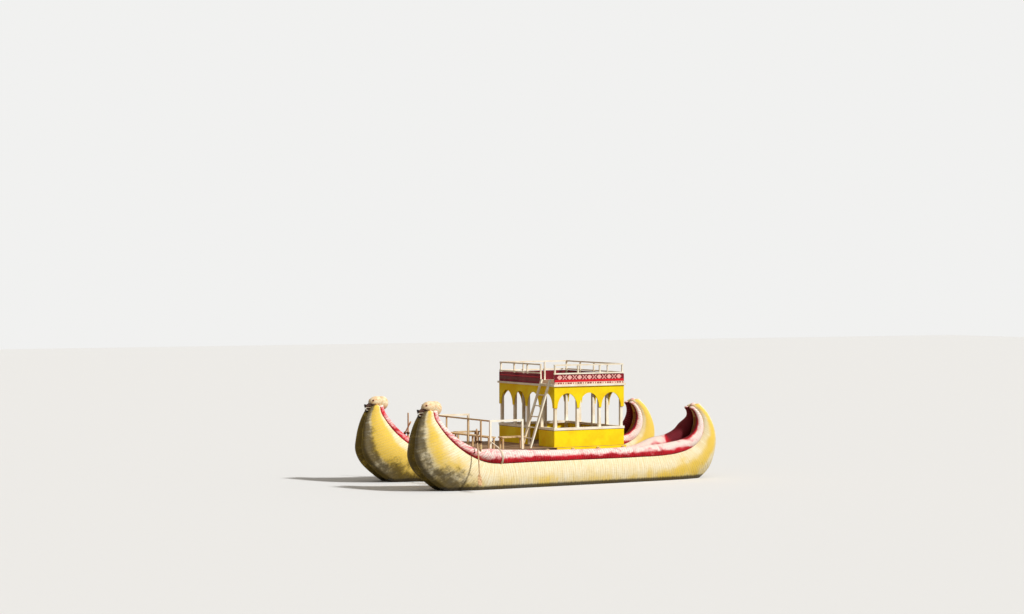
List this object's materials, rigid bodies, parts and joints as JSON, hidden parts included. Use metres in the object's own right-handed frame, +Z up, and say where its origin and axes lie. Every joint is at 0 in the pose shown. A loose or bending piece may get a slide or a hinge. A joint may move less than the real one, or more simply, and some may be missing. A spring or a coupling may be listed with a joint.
{
  "type": "twin-hull reed boat",
  "caption": "Reed catamaran: crescent bundle hulls with animal-head prows, arched two-deck cabin, ladder, benched fore deck and oars lashed to thole posts.",
  "frame": {"origin": "amidships on the waterline, midway between the two hulls", "axes": "+X forward to the prow heads, +Y to port, +Z up"},
  "size_m": [11.2682, 6.2952, 4.181],
  "materials": {
    "reed": "dried totora reed, bound in rope",
    "dyed_reed": "red-dyed reed, faded to pale pink on top",
    "rope": "twisted grass rope",
    "yellow_paint": "bright yellow paint on board",
    "patterned_board": "red board with a painted geometric pattern",
    "white_paint": "cream-white paint on timber",
    "bare_wood": "weathered bare timber"
  },
  "bodies": {
    "boat": {"arches_aft": "yellow_paint", "arches_front": "yellow_paint", "arches_port": "yellow_paint", "arches_stbd": "yellow_paint", "bench_front": "bare_wood", "bench_port": "bare_wood", "bench_stbd": "bare_wood", "cabin_floor": "bare_wood", "cabin_posts": "white_paint", "crossbeams": "bare_wood", "dado_aft": "yellow_paint", "dado_front_port": "yellow_paint", "dado_front_stbd": "yellow_paint", "dado_port": "yellow_paint", "dado_stbd": "yellow_paint", "foredeck": "bare_wood", "front_rail": "bare_wood", "ladder_rungs": "white_paint", "ladder_stringers": "white_paint", "ledge": "white_paint", "lower_rails": "white_paint", "parapet_aft": "patterned_board", "parapet_front": "patterned_board", "parapet_port": "patterned_board", "parapet_posts": "white_paint", "parapet_stbd": "patterned_board", "port_core_bundle": "reed", "port_inner_bundle": "reed", "port_inner_roll": "dyed_reed", "port_outer_bundle": "reed", "port_outer_roll": "dyed_reed", "port_prow_head": "reed", "port_prow_muzzle": "reed", "port_stern_crest": "dyed_reed", "port_stern_tip": "dyed_reed", "port_thole_post": "bare_wood", "rail_panel_port": "white_paint", "rail_panel_stbd": "white_paint", "stbd_core_bundle": "reed", "stbd_inner_bundle": "reed", "stbd_inner_roll": "dyed_reed", "stbd_outer_bundle": "reed", "stbd_outer_roll": "dyed_reed", "stbd_prow_head": "reed", "stbd_prow_muzzle": "reed", "stbd_stern_crest": "dyed_reed", "stbd_stern_tip": "dyed_reed", "stbd_thole_post": "bare_wood", "top_rail": "white_paint", "upper_deck": "bare_wood", "window_sills": "white_paint"},
    "port_swivel": {"port_rope_collar": "rope"},
    "port_oar": {"port_oar_lashing": "rope", "port_oar_shaft": "bare_wood", "port_oar_blade": "bare_wood"},
    "stbd_swivel": {"stbd_rope_collar": "rope"},
    "stbd_oar": {"stbd_oar_lashing": "rope", "stbd_oar_shaft": "bare_wood", "stbd_oar_blade": "bare_wood"}
  },
  "joints": [
    {"name": "port_oar_swing", "type": "hinge", "parent": "boat", "child": "port_swivel", "pos_m": [3.39, 2.4, 1.49], "axis": [0, 0, 1], "range_deg": [-20, 45]},
    {"name": "port_oar_dip", "type": "hinge", "parent": "port_swivel", "child": "port_oar", "pos_m": [3.505, 2.4, 1.49], "axis": [1, 0, 0], "range_deg": [-5, 50]},
    {"name": "stbd_oar_swing", "type": "hinge", "parent": "boat", "child": "stbd_swivel", "pos_m": [3.39, -2.4, 1.49], "axis": [0, 0, -1], "range_deg": [-20, 45]},
    {"name": "stbd_oar_dip", "type": "hinge", "parent": "stbd_swivel", "child": "stbd_oar", "pos_m": [3.505, -2.4, 1.49], "axis": [-1, 0, 0], "range_deg": [-5, 50]}
  ]
}
